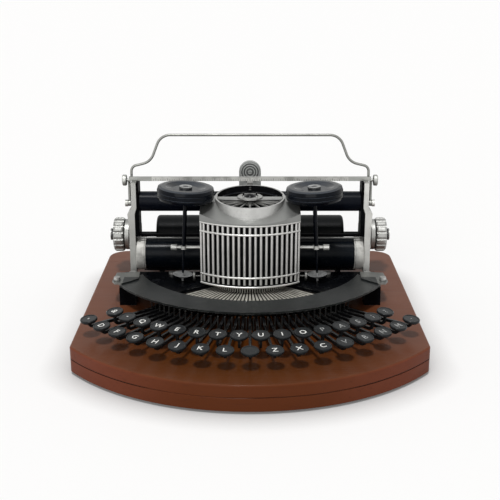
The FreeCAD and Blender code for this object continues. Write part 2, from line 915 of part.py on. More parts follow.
def build_hood():
    bottom = cage_top_ring_z + cage_ring_height / 2
    rim_top = rim_z(neck_centre_y + neck_outer_radius) + neck_overshoot
    neck_axis = Vector(0, neck_centre_y, bottom)
    neck = rod(neck_axis, Z_AXIS, neck_outer_radius, rim_top - bottom)
    behind = box(-base_width / 2, base_width / 2, turret_back_y, base_back_y, bottom, hood_flat_z)
    neck = neck.cut(behind)
    front_y = neck_centre_y - neck_outer_radius
    neck = neck.common(under_plane(front_y, rim_front_z, rim_slope, bottom - hood_plane_depth))
    outer = fuse([hood_form(0), neck])
    bore = rod(
        neck_axis - Vector(0, 0, neck_overshoot), Z_AXIS,
        neck_outer_radius - neck_wall, rim_top - bottom + 2 * neck_overshoot,
    )
    hood = outer.cut(hood_form(hood_wall)).cut(bore)
    window = box(
        -print_window_width / 2, print_window_width / 2,
        neck_centre_y, neck_centre_y + 2 * neck_outer_radius,
        print_window_low, print_window_low + print_window_height,
    )
    hood = hood.cut(window)

    half = bridge_width / 2
    bar = box(
        -neck_outer_radius, neck_outer_radius,
        neck_centre_y - half, neck_centre_y + half, bridge_z, bridge_z + bridge_height,
    ).common(bore)
    disc_z = bridge_z + bridge_height
    disc_foot = Vector(0, neck_centre_y, disc_z)
    disc = rod(disc_foot, Z_AXIS, hub_disc_radius, hub_disc_height)
    dome = Part.makeSphere(hub_dome_radius, disc_foot + Vector(0, 0, hub_disc_height - hub_dome_sink))
    dome = dome.common(rod(disc_foot, Z_AXIS, hub_dome_radius, hub_dome_radius))
    pins = []
    for number in range(hub_pin_count):
        spot = disc_foot + polar(hub_pin_circle, 360 / hub_pin_count * (number + 1 / 2))
        pins.append(rod(spot, Z_AXIS, hub_pin_radius, hub_disc_height + hub_pin_height))
    bridge = fuse([bar, disc, dome] + pins)
    seat = Vector(0, neck_centre_y, bridge_z - overshoot)
    seat_depth = bridge_height + 3 * overshoot
    bridge = bridge.cut(rod(seat, Z_AXIS, wheel_shaft_radius + running_gap, seat_depth))
    save("turret_hood", [hood, bridge])


def build_type_wheel():
    """Band wheel on a spindle that runs from the turret shelf to the bridge."""
    centre = Vector(0, neck_centre_y, wheel_top_z - wheel_band_height)
    ring = rod(centre, Z_AXIS, wheel_outer_radius, wheel_band_height)
    ring = ring.cut(rod(centre, Z_AXIS, wheel_outer_radius - wheel_band, wheel_band_height))
    spoke_z = wheel_top_z - wheel_spoke_height
    pieces = [ring]
    for number in range(wheel_spokes):
        spoke = box(
            -wheel_spoke_width / 2, wheel_spoke_width / 2,
            neck_centre_y - wheel_outer_radius + wheel_band / 2, neck_centre_y,
            spoke_z, wheel_top_z,
        )
        pieces.append(turned(spoke, centre, Z_AXIS, number * 360 / wheel_spokes))
    hub_foot = Vector(0, neck_centre_y, wheel_top_z - wheel_band_height)
    pieces.append(rod(hub_foot, Z_AXIS, wheel_hub_radius, wheel_band_height))
    shaft_low = shelf_z
    shaft_high = bridge_z + bridge_height / 2
    shaft_foot = Vector(0, neck_centre_y, shaft_low)
    pieces.append(rod(shaft_foot, Z_AXIS, wheel_shaft_radius, shaft_high - shaft_low))
    collar_foot = Vector(0, neck_centre_y, shelf_z + shelf_thickness + seat_gap)
    pieces.append(rod(collar_foot, Z_AXIS, 2 * wheel_shaft_radius, wheel_collar_height))
    save("type_wheel", [fuse(pieces)])


# Ribbon spools, their arms and the drive shaft

def leaned(shape, side):
    """Lean a right-hand spool part about the spool's middle, then give either side."""
    pivot = Vector(spool_x, spool_y, spool_bottom_z + spool_height / 2)
    copy = turned(shape, pivot, Y_AXIS, -spool_lean_deg)
    return copy if side > 0 else mirrored(copy)


def spool_shape():
    foot = Vector(spool_x, spool_y, spool_bottom_z)
    edge = spool_edge_radius
    ease = edge * (1 - math.sqrt(0.5))
    inner = spool_radius - spool_groove
    profile = [
        (0, 0),
        (spool_radius - edge, 0),
        (spool_radius - ease, ease),
        (spool_radius, edge),
    ]
    for z in spool_groove_heights:
        profile += [
            (spool_radius, z),
            (inner, z + spool_groove_half),
            (spool_radius, z + 2 * spool_groove_half),
        ]
    profile += [
        (spool_radius, spool_height - edge - spool_shoulder_drop),
        (spool_radius - ease, spool_height - ease),
        (spool_radius - edge - spool_shoulder_inset, spool_height),
        (spool_recess_radius + spool_lip_width, spool_height),
        (spool_recess_radius, spool_height - spool_lip_drop),
        (spool_recess_radius - spool_recess_slope, spool_height - spool_recess_depth),
        (0, spool_height - spool_recess_depth),
    ]
    body = revolve(profile, foot)
    knob_z = spool_bottom_z + spool_height - spool_recess_depth
    knob_foot = Vector(spool_x, spool_y, knob_z)
    knob = rod(knob_foot, Z_AXIS, spool_knob_radius, spool_knob_height)
    slot_z = knob_z + spool_knob_height - spool_slot_depth
    knob = knob.cut(box(
        spool_x - spool_knob_radius, spool_x + spool_knob_radius,
        spool_y - spool_slot_half, spool_y + spool_slot_half, slot_z, slot_z + 2 * spool_slot_depth,
    ))
    post_low = arm_z + arm_ring_height / 2 + seat_gap
    post = rod(Vector(spool_x, spool_y, post_low), Z_AXIS, spool_post_radius, spool_bottom_z - post_low)
    rod_low = deck_top + seat_gap
    thin = rod(Vector(spool_x, spool_y, rod_low), Z_AXIS, spool_rod_radius, post_low - rod_low)
    wall = spool_dish_wall
    dish = revolve(
        [
            (0, 0),
            (spool_dish_flat_radius, 0),
            (spool_dish_radius, spool_dish_height),
            (spool_dish_radius - wall, spool_dish_height),
            (spool_dish_flat_radius, wall),
            (0, wall),
        ],
        Vector(spool_x, spool_y, dish_bottom_z),
    )
    return fuse([body, knob, post, thin, dish])


def build_spools():
    spool = spool_shape()
    save("ribbon_spool_right", [leaned(spool, 1)])
    save("ribbon_spool_left", [leaned(spool, -1)])

    side_x = turret_side_x(spool_y, housing_setback)
    start = Vector(side_x - housing_wall, spool_y, arm_z)
    bar = rod(start, X_AXIS, arm_radius, arm_end_x - start.x)
    bulb_foot = Vector(arm_end_x - arm_bulb_length, spool_y, arm_z)
    bulb = rod(bulb_foot, X_AXIS, arm_bulb_radius, arm_bulb_length)
    axis_x = spool_axis_x(arm_z)
    ring = rod(
        Vector(axis_x, spool_y, arm_z - arm_ring_height / 2), Z_AXIS,
        arm_ring_radius, arm_ring_height,
    )
    arm = fuse([bar, bulb, ring])
    bore_foot = Vector(spool_x, spool_y, deck_top)
    bore = rod(bore_foot, Z_AXIS, spool_rod_radius + running_gap, spool_bottom_z - deck_top)
    post_low = arm_z + arm_ring_height / 2
    post_foot = Vector(spool_x, spool_y, post_low)
    relief = rod(post_foot, Z_AXIS, spool_post_radius + moving_gap, arm_relief_height)
    arm = arm.cut(leaned(bore, 1)).cut(leaned(relief, 1))
    flange = rod(Vector(side_x + running_gap, spool_y, arm_z), X_AXIS, 2 * arm_radius, arm_flange_width)
    arm = fuse([arm, flange])
    save("spool_arms", both_sides(arm))


def spool_axis_x(z):
    """Where the leaning spool axis passes a given height."""
    middle = spool_bottom_z + spool_height / 2
    return spool_x + (middle - z) * math.tan(math.radians(spool_lean_deg))


def build_drive_shaft():
    """Cross shaft whose end discs bear against the inner rims of the spool dishes."""
    rim_z = dish_bottom_z + spool_dish_height
    reach = spool_axis_x(rim_z) - spool_dish_radius - moving_gap
    shaft = rod(Vector(-reach, spool_y, drive_z), X_AXIS, drive_shaft_radius, 2 * reach)
    disc_foot = Vector(reach - drive_disc_width, spool_y, drive_z)
    disc = rod(disc_foot, X_AXIS, drive_disc_radius, drive_disc_width)
    save("ribbon_drive_shaft", [fuse([shaft] + both_sides(disc))])


# Carriage

def plate_front_outline():
    """Front view of the right end plate as (x, z): straight, with a flared shoulder."""
    return [
        (plate_inner_x, plate_bottom_z),
        (plate_outer_x, plate_bottom_z),
        (plate_outer_x, plate_shoulder_z - plate_flare_drop),
        (plate_shoulder_x, plate_shoulder_z - plate_shoulder_round),
        (plate_shoulder_x, plate_shoulder_z),
        (plate_upper_outer_x, plate_shoulder_z + plate_neck_rise),
        (plate_upper_outer_x, plate_top_z),
        (plate_upper_inner_x, plate_top_z),
        (plate_upper_inner_x, plate_shoulder_z + plate_neck_rise),
        (plate_inner_x, plate_shoulder_z),
    ]


def plate_side_outline():
    """Side view of an end plate as (y, z), with a low tail for the feed cylinder."""
    return [
        (plate_front_y, plate_bottom_z),
        (rail_y + plate_foot_back, plate_bottom_z),
        (plate_lower_back_y, feed_z - plate_tail_drop),
        (plate_lower_back_y, feed_z + plate_tail_rise),
        (plate_lower_back_y - plate_tail_run, feed_z + plate_tail_rise + plate_tail_slope),
        (plate_upper_back_y + plate_tail_run, feed_z + plate_waist_rise),
        (plate_upper_back_y, plate_shoulder_z - plate_tail_run),
        (plate_upper_back_y, plate_top_z),
        (plate_front_y, plate_top_z),
    ]


def end_plate():
    front = prism(
        [Vector(x, plate_front_y - overshoot, z) for x, z in plate_front_outline()],
        Vector(0, plate_lower_back_y - plate_front_y + 2 * overshoot, 0),
    )
    side = prism(
        [Vector(plate_upper_inner_x - overshoot, y, z) for y, z in plate_side_outline()],
        Vector(plate_shoulder_x - plate_upper_inner_x + 2 * overshoot, 0, 0),
    )
    plate = front.common(side)
    outward = plate_upper_inner_x - overshoot
    bores = [
        (roller_y, front_roller_z, roller_shaft, plate_shoulder_x),
        (feed_y, feed_z, roller_shaft, plate_shoulder_x),
        (roller_y, upper_roller_z, upper_roller_shaft, plate_upper_inner_x + upper_bore_depth),
    ]
    for y, z, radius, reach in bores:
        plate = plate.cut(rod(
            Vector(outward, y, z), X_AXIS, radius + running_gap, reach - outward + overshoot))
    stud_end = rest_leg_x + rest_eye_width / 2 + seat_gap
    stud_start = plate_upper_outer_x - overshoot
    pivot = Vector(stud_start, rest_pivot_y, rest_pivot_z)
    stud = rod(pivot, X_AXIS, rest_stud_radius, stud_end - stud_start)
    head = rod(
        Vector(stud_end, rest_pivot_y, rest_pivot_z), X_AXIS,
        rest_stud_head_radius, rest_stud_head_width,
    )
    return fuse([plate, stud, head])


def build_carriage():
    plates = both_sides(end_plate())
    tie = rod(Vector(-plate_inner_x, tie_rod_y, tie_rod_z), X_AXIS, tie_rod_radius, 2 * plate_inner_x)
    save("carriage_frame", plates + [tie])

    liner = prism(
        [
            Vector(x, plate_front_y + liner_setback, z) for x, z in (
                (liner_inner_x, liner_bottom_z),
                (plate_inner_x, liner_bottom_z),
                (plate_inner_x, plate_shoulder_z),
                (plate_upper_inner_x, plate_shoulder_z + plate_neck_rise),
                (plate_upper_inner_x, plate_top_z),
                (liner_inner_x, plate_top_z),
            )
        ],
        Vector(0, plate_upper_back_y - plate_front_y - liner_setback, 0),
    )
    liner = liner.cut(rod(
        Vector(liner_inner_x - overshoot, roller_y, upper_roller_z), X_AXIS,
        upper_roller_shaft + running_gap, plate_inner_x - liner_inner_x + 2 * overshoot))
    bar = box(
        -plate_inner_x, plate_inner_x, roller_y - tie_bar_depth / 2, roller_y + tie_bar_depth / 2,
        tie_bar_z - tie_bar_height / 2, tie_bar_z + tie_bar_height / 2,
    )
    bar_top = tie_bar_z + tie_bar_height / 2
    liners = [
        side.cut(box(
            -plate_inner_x, plate_inner_x, plate_front_y, plate_upper_back_y,
            liner_bottom_z - overshoot, bar_top,
        )) if bar_top > liner_bottom_z else side
        for side in both_sides(liner)
    ]
    side_gap = moving_gap
    skirt_in = rail_width / 2 + side_gap
    skirt_out = skirt_in + shoe_skirt
    roof_low = rail_top_z + side_gap
    shoe = box(
        -plate_inner_x, plate_inner_x, rail_y - skirt_out, rail_y + skirt_out,
        rail_top_z - shoe_drop, roof_low + shoe_roof,
    )
    shoe = shoe.cut(box(
        -plate_inner_x, plate_inner_x, rail_y - skirt_in, rail_y + skirt_in,
        rail_top_z - shoe_drop, roof_low,
    ))
    save("carriage_liners", liners + [bar, shoe])

    scale = box(
        -scale_half, scale_half, scale_y - scale_thickness / 2, scale_y + scale_thickness / 2,
        plate_top_z, plate_top_z + scale_height,
    )
    stem = rod(Vector(scale_half, scale_y, thumb_z), X_AXIS, thumb_stem_radius, thumb_x - scale_half)
    disc = rod(Vector(thumb_x, scale_y, thumb_z), X_AXIS, thumb_radius, thumb_width)
    disc = disc.makeFillet(thumb_round, round_edges(disc))
    save("scale_bar", [scale] + both_sides(fuse([stem, disc])))


def rounded_path(points, radii):
    """Straight runs joined by tangent arcs of the given radii."""
    edges = []
    start = points[0]
    for before, corner, after, radius in zip(points, points[1:], points[2:], radii):
        back = (before - corner).normalize()
        ahead = (after - corner).normalize()
        half_turn = math.acos(max(-1, min(1, back.dot(ahead)))) / 2
        reach = radius / math.tan(half_turn)
        middle = (back + ahead).normalize() * (radius / math.sin(half_turn) - radius)
        leave = corner + back * reach
        join = corner + ahead * reach
        edges.append(Part.makeLine(start, leave))
        edges.append(arc_edge(leave, corner + middle, join))
        start = join
    edges.append(Part.makeLine(start, points[-1]))
    return Part.Wire(edges)


def build_paper_rest():
    half = [
        (rest_leg_x, 0),
        (rest_leg_x, rest_leg_height),
        (rest_shoulder_x, rest_shoulder_low),
        (rest_shoulder_x, rest_shoulder_high),
        (rest_inner_x, rest_inner_height),
        (rest_top_x, rest_top_height),
    ]
    radii = list(rest_bend_radii)
    outline = half + [(-x, z) for x, z in reversed(half)]
    points = [Vector(x, rest_pivot_y, rest_pivot_z + z) for x, z in outline]
    path = rounded_path(points, radii + radii[::-1])
    section = Part.Wire(Part.makeCircle(rest_wire_radius, points[0], Z_AXIS))
    wire = path.makePipeShell([section], True, False)
    eye = rod(
        Vector(rest_leg_x - rest_eye_width / 2, rest_pivot_y, rest_pivot_z), X_AXIS,
        rest_eye_radius, rest_eye_width,
    )
    bore = rod(
        Vector(-base_width / 2, rest_pivot_y, rest_pivot_z), X_AXIS,
        rest_stud_radius + running_gap, base_width,
    )
    rest = fuse([wire] + both_sides(eye)).cut(bore)
    pivot = Vector(0, rest_pivot_y, rest_pivot_z)
    save("paper_rest_wire", [turned(rest, pivot, X_AXIS, -rest_lean_deg)])


def build_rollers():
    upper_half = liner_inner_x - moving_gap
    roller = rod(Vector(-upper_half, roller_y, upper_roller_z), X_AXIS, upper_roller_radius, 2 * upper_half)
    reach = plate_upper_inner_x + upper_shaft_depth
    shaft = rod(Vector(-reach, roller_y, upper_roller_z), X_AXIS, upper_roller_shaft, 2 * reach)
    save("upper_roller", [fuse([roller, shaft])])

    cap_end = plate_inner_x - moving_gap
    body = rod(
        Vector(-front_roller_half, roller_y, front_roller_z), X_AXIS,
        front_roller_radius, 2 * front_roller_half,
    )
    cap = rod(
        Vector(front_roller_half, roller_y, front_roller_z), X_AXIS,
        front_cap_radius, cap_end - front_roller_half,
    )
    cap = cap.makeChamfer(front_cap_chamfer, round_edges(cap))
    shaft_end = plate_outer_x
    shaft = rod(Vector(-shaft_end, roller_y, front_roller_z), X_AXIS, roller_shaft, 2 * shaft_end)
    save("front_roller", [fuse([body, shaft] + both_sides(cap))])

    feed = rod(Vector(-feed_half, feed_y, feed_z), X_AXIS, feed_radius, 2 * feed_half)
    feed = feed.makeFillet(feed_edge_radius, round_edges(feed))
    axle = rod(Vector(-knob_rim_x, feed_y, feed_z), X_AXIS, roller_shaft, 2 * knob_rim_x)
    save("feed_cylinder", [fuse([feed, axle])])

    hub_x = plate_shoulder_x + moving_gap
    hub = rod(Vector(hub_x, feed_y, feed_z), X_AXIS, knob_hub_radius, knob_flange_x - hub_x)
    flange_width = knob_rim_x - knob_flange_x
    flange = rod(Vector(knob_flange_x, feed_y, feed_z), X_AXIS, knob_flange_radius, flange_width)
    flange = flange.makeChamfer(knob_flange_chamfer, round_edges(flange)[:1])
    rim = rod(Vector(knob_rim_x, feed_y, feed_z), X_AXIS, knob_rim_radius, knob_rim_width)
    rim = rim.makeFillet(knob_rim_round, round_edges(rim))
    scallops = []
    ring = knob_rim_radius + knob_scallop_radius - knob_scallop_depth
    for number in range(knob_scallops):
        angle = math.radians(number * 360 / knob_scallops)
        spot = Vector(knob_rim_x, feed_y + ring * math.cos(angle), feed_z + ring * math.sin(angle))
        scallops.append(rod(spot, X_AXIS, knob_scallop_radius, knob_rim_width))
    rim = rim.cut(Part.makeCompound(scallops))
    neck_x = knob_rim_x + knob_rim_width
    neck = rod(Vector(neck_x, feed_y, feed_z), X_AXIS, knob_neck_radius, knob_neck_length)
    button_x = neck_x + knob_neck_length
    button = rod(Vector(button_x, feed_y, feed_z), X_AXIS, knob_button_radius, knob_button_length)
    knob = fuse([hub, flange, rim, neck, button])
    knob = knob.cut(rod(Vector(0, feed_y, feed_z), X_AXIS, roller_shaft, knob_rim_x))
    save("cylinder_knobs", both_sides(knob))


def build_rail():
    half = rail_width / 2
    bar = box(-rail_half, rail_half, rail_y - half, rail_y + half, rail_top_z - rail_height, rail_top_z)
    pieces = [bar]
    for x in (-rail_foot_x, 0, rail_foot_x):
        reach = rail_foot_size / 2
        pieces.append(box(
            x - reach, x + reach, rail_y - reach, rail_y + reach,
            board_top, rail_top_z - rail_height,
        ))
    save("carriage_rail", [fuse(pieces)])


# Back of the machine

def build_bell():
    """Upright standard with a ringed plaque in front, a gong behind and the hammer's bracket."""
    front_y = standard_y - standard_thickness / 2
    back_y = standard_y + standard_thickness / 2
    blade = box(-standard_half_width, standard_half_width, front_y, back_y, board_top, standard_arc_z)
    head = rod(Vector(0, front_y, standard_arc_z), Y_AXIS, standard_half_width, standard_thickness)
    foot = box(
        -standard_half_width, standard_half_width, front_y, front_y + standard_foot_depth,
        board_top, board_top + standard_foot_height,
    )
    rings = []
    for radius in plaque_ring_radii:
        face = Vector(0, front_y - plaque_ring_height, standard_arc_z)
        ring = rod(face, Y_AXIS, radius, plaque_ring_height)
        rings.append(ring.cut(rod(face, Y_AXIS, radius - plaque_ring_width, plaque_ring_height)))
    cheek_in = hammer_half_width + moving_gap
    cheek_out = cheek_in + bracket_cheek
    pivot_front = hammer_pivot_y - hammer_pin_radius - bracket_pin_land
    cheek = box(
        cheek_in, cheek_out, pivot_front, front_y, bracket_bottom, bracket_bottom + bracket_height)
    pin = rod(Vector(-cheek_out, hammer_pivot_y, hammer_pivot_z), X_AXIS, hammer_pin_radius, 2 * cheek_out)
    standard = fuse([blade, head, foot, pin] + rings + both_sides(cheek))

    screw_y = front_y - plaque_screw_height
    screw = rod(Vector(0, screw_y, standard_arc_z), Y_AXIS, plaque_screw_radius, plaque_screw_height)
    slot = box(
        -plaque_screw_radius, plaque_screw_radius, screw_y, screw_y + plaque_slot_depth,
        standard_arc_z - screw_slot_half, standard_arc_z + screw_slot_half,
    )
    gong_centre = Vector(0, back_y, bell_z)
    reach = bell_radius + overshoot
    behind = box(
        -reach, reach, back_y + bell_stand_off, back_y + reach, bell_z - reach, bell_z + reach)
    gong = Part.makeSphere(bell_radius, gong_centre).cut(
        Part.makeSphere(bell_radius - bell_wall, gong_centre)).common(behind)
    stem = rod(gong_centre, Y_AXIS, bell_stem_radius, bell_radius - bell_wall / 2)
    save("bell", [standard, screw.cut(slot), fuse([gong, stem])])


def build_hammer():
    low = hammer_pivot_z - hammer_tail
    arm = box(
        -hammer_half_width, hammer_half_width,
        hammer_pivot_y - hammer_arm_depth / 2, hammer_pivot_y + hammer_arm_depth / 2,
        low, hammer_head_low + hammer_head_height,
    )
    head = box(
        -hammer_half_width, hammer_half_width, hammer_head_y, hammer_pivot_y,
        hammer_head_low, hammer_head_low + hammer_head_height,
    )
    hammer = fuse([arm, head])
    bore = rod(
        Vector(-base_width / 2, hammer_pivot_y, hammer_pivot_z), X_AXIS,
        hammer_pin_radius + running_gap, base_width,
    )
    save("hammer", [hammer.cut(bore)])


def build_mainspring():
    foot = Vector(drum_x, drum_y, board_top)
    drum = rod(foot, Z_AXIS, drum_radius, drum_height)
    drum = drum.makeFillet(drum_round, level_edges(drum, board_top + drum_height))
    cap = rod(foot + Vector(0, 0, drum_height), Z_AXIS, drum_cap_radius, drum_cap_height)
    ear_end = drum_radius + drum_ear_reach
    ear = box(
        drum_x - ear_end, drum_x + ear_end, drum_y - drum_ear_half_width, drum_y + drum_ear_half_width,
        board_top, board_top + drum_ear_height,
    )
    save("mainspring_drum", [fuse([drum, cap, ear])])


build_base()
build_keys()
build_comb()
build_frame()
build_ears()
build_cage()
build_housing()
build_hood()
build_type_wheel()
build_spools()
build_drive_shaft()
build_carriage()
build_paper_rest()
build_rollers()
build_rail()
build_bell()
build_hammer()
build_mainspring()
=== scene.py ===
"""Looks of the keyed type-wheel typewriter. Metres; +X right, +Y to the back, +Z up."""

import math

import bpy
from mathutils import Matrix, Vector


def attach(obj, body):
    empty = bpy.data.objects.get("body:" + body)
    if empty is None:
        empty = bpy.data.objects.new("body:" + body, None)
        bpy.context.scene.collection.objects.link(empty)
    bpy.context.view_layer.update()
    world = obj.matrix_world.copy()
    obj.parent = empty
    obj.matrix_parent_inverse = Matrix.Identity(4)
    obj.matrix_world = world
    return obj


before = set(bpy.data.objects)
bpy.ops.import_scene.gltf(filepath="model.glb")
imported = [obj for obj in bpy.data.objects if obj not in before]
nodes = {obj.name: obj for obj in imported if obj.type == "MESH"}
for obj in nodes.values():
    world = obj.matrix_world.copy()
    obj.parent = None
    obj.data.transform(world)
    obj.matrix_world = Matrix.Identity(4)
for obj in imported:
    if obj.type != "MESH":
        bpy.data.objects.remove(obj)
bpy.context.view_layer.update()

MM = 0.001

# Axes of the CAD model
FAN_Y = 43.0 * MM
TURRET_Y = 34.0 * MM
SPOOL_Y = 25.0 * MM
SPOOL_HUB_X = 66.2 * MM

# Keys: the rows give each cap's distance from the fan's centre and the height of its rim
KEY_COUNT = 33
KEY_PITCH = math.radians(3.206)
FRONT_ROW = (198.0 * MM, 47.0 * MM)
REAR_ROW = (175.0 * MM, 52.0 * MM)
CAP_TILT = math.radians(7.0)
CAP_DISH = 0.45 * MM

# Old nickel with painted shade: faces turned away from SILVER_LIT are darkest
SILVER_LIT = (-0.15, -1.0, 0.35)
NICKEL_METALLIC = 0.8
DULL_SHARE = 0.6
SHADE_SHARE = 0.36
SPOT_TONE = (0.10, 0.095, 0.085)
# Tone of the painted shade in corners
CORNER_SHADE_TONE = (0.030, 0.029, 0.027)

# Where the carriage is darkest
LEFT_END_X = -120.0 * MM


def join(graph, source, socket):
    """Links a socket to an input, or sets the input's own value."""
    if isinstance(source, bpy.types.NodeSocket):
        graph.links.new(source, socket)
    else:
        socket.default_value = source


def add(graph, kind, inputs=None, **settings):
    """A new node with its settings, and with a link or a value for each of the inputs given."""
    made = graph.nodes.new(kind)
    for key, value in settings.items():
        setattr(made, key, value)
    for key, value in (inputs or {}).items():
        join(graph, value, made.inputs[key])
    return made


def scaled(tone, share):
    return tuple(share * value for value in tone)


class Shader:
    """A material built from nodes. `place` is the surface's own rest position, in metres."""

    def __init__(self, name):
        self.material = bpy.data.materials.new(name)
        self.material.use_nodes = True
        self.tree = self.material.node_tree
        self.tree.nodes.clear()
        self.surface = self.node("ShaderNodeBsdfPrincipled")
        self.node("ShaderNodeOutputMaterial", {"Surface": self.surface.outputs[0]})
        self.place = self.node("ShaderNodeTexCoord").outputs["Object"]
        self.x, self.y, self.z = self.node("ShaderNodeSeparateXYZ", {0: self.place}).outputs

    def node(self, kind, inputs=None, **settings):
        return add(self.tree, kind, inputs, **settings)

    def set(self, **values):
        for key, value in values.items():
            name = key.replace("_", " ").title().replace("Ior", "IOR")
            join(self.tree, value, self.surface.inputs[name])

    def source(self, name):
        """The socket that feeds an input of the surface."""
        return self.surface.inputs[name].links[0].from_socket

    def math(self, operation, a, b=0.0):
        return self.node("ShaderNodeMath", {0: a, 1: b}, operation=operation).outputs[0]

    def times(self, a, b):
        return self.math("MULTIPLY", a, b)

    def minus(self, a, b):
        return self.math("SUBTRACT", a, b)

    def magnitude(self, value):
        return self.math("ABSOLUTE", value)

    def fade(self, value, low, high):
        """0 below low and 1 above high, smooth between them; low may be the larger."""
        inputs = {"Value": value, "From Min": low, "From Max": high}
        return self.node("ShaderNodeMapRange", inputs, interpolation_type="SMOOTHSTEP").outputs[0]

    def between(self, value, low, high, soft):
        rise = self.fade(value, low - soft, low + soft)
        fall = self.fade(value, high + soft, high - soft)
        return self.times(rise, fall)

    def noise(self, scale, detail=3.0, rough=0.55, stretch=(1, 1, 1), twist=0.0):
        """Smooth noise from 0 to 1 with `scale` features a metre, drawn out along an axis below 1."""
        spread = self.node("ShaderNodeVectorMath", {0: self.place, 1: stretch}, operation="MULTIPLY")
        return self.node("ShaderNodeTexNoise", {
            "Vector": spread.outputs[0],
            "Scale": scale,
            "Detail": detail,
            "Roughness": rough,
            "Distortion": twist,
        }).outputs["Fac"]

    def colour(self, factor, a, b):
        a, b = ((*value, 1.0) if isinstance(value, tuple) else value for value in (a, b))
        return self.node("ShaderNodeMix", {0: factor, 6: a, 7: b}, data_type="RGBA").outputs[2]

    def number(self, factor, a, b):
        return self.node("ShaderNodeMix", {0: factor, 2: a, 3: b}, data_type="FLOAT").outputs[0]

    def cover(self, mask, tone, share=1.0):
        """Lays a tone, or a socket's colour, over the base colour where the mask is 1."""
        self.set(base_color=self.colour(self.times(mask, share), self.source("Base Color"), tone))

    def reach(self, across, x0, along, y0):
        """Distance from a point in the plane of two coordinates."""
        dx = self.minus(across, x0)
        dy = self.minus(along, y0)
        return self.math("SQRT", self.math("ADD", self.times(dx, dx), self.times(dy, dy)))

    def level_reach(self, x0, y0):
        """Level distance from an upright axis."""
        return self.reach(self.x, x0, self.y, y0)

    def cosine(self, direction):
        """Cosine between the surface's normal and a direction."""
        normal = self.node("ShaderNodeNewGeometry").outputs["Normal"]
        dot = self.node("ShaderNodeVectorMath", {0: normal, 1: direction}, operation="DOT_PRODUCT")
        return dot.outputs["Value"]

    def edges(self, radius):
        """1 on sharp outer edges, 0 on flats."""
        rounded = self.node("ShaderNodeBevel", {"Radius": radius}, samples=4).outputs[0]
        return self.fade(self.cosine(rounded), 0.995, 0.93)

    def facing(self, direction, low, high):
        """1 where the surface faces `direction`, 0 where it faces away, between the two cosines."""
        return self.fade(self.cosine(Vector(direction).normalized()), low, high)

    def corner_shade(self, distance, low=0.35, high=0.85):
        """Painted shade mask: 1 deep in corners, 0 in the open."""
        made = self.node("ShaderNodeAmbientOcclusion", {"Distance": distance}, samples=6)
        return self.fade(made.outputs["AO"], high, low)

    def bump(self, height, distance, strength=1.0):
        inputs = {"Height": height, "Distance": distance, "Strength": strength}
        self.set(normal=self.node("ShaderNodeBump", inputs).outputs[0])


def silver(name, tone, rough, brushed=(1, 1, 1), tarnish=0.5, grain=900.0, shade_reach=3.5 * MM, dim=-0.1):
    """Old nickel plate: cloudy tone, dull spots, painted shade in corners, fine scratches along `brushed`.

    Faces whose cosine with SILVER_LIT is below `dim` are darkest, as painted shade.
    """
    shader = Shader(name)
    cloud = shader.noise(38.0, 5.0, 0.6)
    spots = shader.fade(shader.noise(420.0, 3.0, 0.6), 0.60, 0.72)
    scratch = shader.noise(grain, 2.0, 0.5, brushed)
    dulled = shader.times(shader.fade(cloud, 0.42, 0.72), tarnish)
    base = shader.colour(dulled, tone, scaled(tone, DULL_SHARE))
    # Painted shade: faces turned away from SILVER_LIT take the darker share of the tone
    shader.set(
        base_color=shader.colour(shader.facing(SILVER_LIT, dim, 0.95), scaled(tone, SHADE_SHARE), base),
        metallic=NICKEL_METALLIC,
        roughness=shader.number(shader.math("ADD", cloud, scratch), rough - 0.14, rough + 0.10),
    )
    shader.cover(spots, SPOT_TONE, 0.45 * tarnish)
    # Painted shade in corners
    shader.cover(shader.corner_shade(shade_reach), CORNER_SHADE_TONE, 0.85)
    shader.bump(scratch, 0.12 * MM, 0.35)
    return shader


def black(name, tone, rough, level=0.25, worn=0.0, flecks=0.25, peel=0.25):
    """Old black enamel: faint orange peel, dust, and bare metal at worn edges."""
    shader = Shader(name)
    dust = shader.fade(shader.noise(60.0, 5.0, 0.65), 0.48, 0.78)
    fleck = shader.fade(shader.noise(1500.0, 2.0, 0.5), 0.66, 0.74)
    dusty = tuple(1.8 * value + 0.0015 for value in tone)
    shader.set(
        base_color=shader.colour(dust, tone, dusty),
        roughness=shader.number(dust, rough, rough + 0.16),
        specular_ior_level=level,
    )
    shader.cover(fleck, (0.16, 0.155, 0.145), flecks)
    if worn:
        rub = shader.times(shader.edges(0.6 * MM), shader.fade(shader.noise(170.0), 0.45, 0.62))
        shader.cover(rub, (0.20, 0.20, 0.19), worn)
    shader.bump(shader.noise(700.0, 2.0), 0.1 * MM, peel)
    return shader


def dress(shader, *names):
    for name in names:
        for slot in nodes[name].material_slots:
            slot.material = shader.material


def plated(shader, mask, tone, rough):
    """Turns the masked part of a black shader into bare bright metal."""
    cloud = shader.noise(120.0, 4.0, 0.6)
    bright = shader.colour(shader.fade(cloud, 0.4, 0.75), tone, scaled(tone, 0.55))
    shader.cover(mask, bright)
    shader.set(
        metallic=mask,
        roughness=shader.number(
            mask,
            shader.source("Roughness"),
            shader.number(cloud, rough - 0.1, rough + 0.12),
        ),
    )


# Wood base: warmer and darker in the middle of the top, partly the stain and partly painted shade and
# reflection of the machine, paler outward, and black-brown painted shade under the carriage

BOARD_EDGE_Z = (27.0 * MM, 27.9 * MM)
WARM_SHADED_CENTRE_Y = -60.0 * MM
WARM_SHADED_REACH = (88.0 * MM, 182.0 * MM)
FLANK_X = (40.0 * MM, 150.0 * MM)
